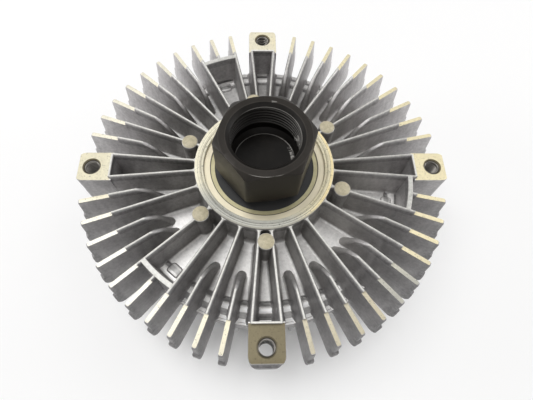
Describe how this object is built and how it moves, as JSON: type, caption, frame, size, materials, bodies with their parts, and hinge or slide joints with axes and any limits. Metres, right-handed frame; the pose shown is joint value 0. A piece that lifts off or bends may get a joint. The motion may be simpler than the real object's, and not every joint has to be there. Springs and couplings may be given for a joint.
{
  "type": "viscous fan clutch",
  "caption": "Finned viscous fan clutch with a hexagonal drive nut, four fan bolt lugs, a ball bearing, a fluid coupling and a bimetal valve",
  "frame": {"origin": "on the spin axis, in the plane of the four fan bolt lugs' machined faces", "axes": "+Z along the spin axis to the hub nut, the four lugs on +X, +Y, -X and -Y"},
  "size_m": [0.142, 0.142, 0.0635],
  "materials": {
    "cast_housing": "die cast, machined cream lands, grainy floor",
    "cast_cover": "die cast, grainy",
    "seal_rubber": "matt black rubber",
    "bearing_steel": "ground bearing steel",
    "ball_steel": "polished balls",
    "cage_plastic": "moulded cage",
    "bearing_seal_rubber": "black rubber with a yellowish metal edge",
    "black_steel": "black oxide",
    "rotor_aluminium": "turned casting",
    "plate_steel": "stamped sheet",
    "screw_steel": "zinc plated",
    "spring_steel": "spring strip",
    "pin_brass": "drawn brass rod",
    "bimetal": "rolled bimetal strip",
    "holder_steel": "zinc plated sheet"
  },
  "bodies": {
    "housing": {"rear_housing": "cast_housing", "front_cover": "cast_cover", "cover_seal": "seal_rubber", "bearing_outer_ring": "bearing_steel", "bearing_rear_seal": "bearing_seal_rubber", "bearing_front_seal": "bearing_seal_rubber", "partition_plate": "plate_steel", "partition_screws": "screw_steel", "valve_rivet": "screw_steel", "control_pin_seal": "seal_rubber", "strip_holder_left": "holder_steel", "strip_holder_right": "holder_steel", "holder_rivets": "screw_steel"},
    "drive": {"drive_hub": "black_steel", "bearing_inner_ring": "bearing_steel", "rotor": "rotor_aluminium"},
    "ball_set": {"bearing_balls": "ball_steel", "bearing_cage": "cage_plastic"},
    "thermostat": {"control_pin": "pin_brass", "bimetal_strip": "bimetal"},
    "valve": {"valve_lever": "spring_steel"}
  },
  "joints": [
    {"name": "hub_spin", "type": "hinge", "parent": "housing", "child": "drive", "pos_m": [0, 0, 0], "axis": [0, 0, 1], "continuous": true},
    {"name": "cage_spin", "type": "hinge", "parent": "housing", "child": "ball_set", "pos_m": [0, 0, -0.0063], "axis": [0, 0, 1], "continuous": true},
    {"name": "control_pin_slide", "type": "slide", "parent": "housing", "child": "thermostat", "axis": [0, 0, -1], "range_m": [0, 0.0008]},
    {"name": "valve_lever_swing", "type": "hinge", "parent": "housing", "child": "valve", "pos_m": [-0.019, 0, -0.0204], "axis": [0, 1, 0], "range_deg": [0, 2.5]}
  ],
  "couplings": [
    {"joint": "cage_spin", "follows": "hub_spin", "ratio": 0.3815},
    {"joint": "valve_lever_swing", "follows": "control_pin_slide", "rad_per_m": 52.63}
  ]
}
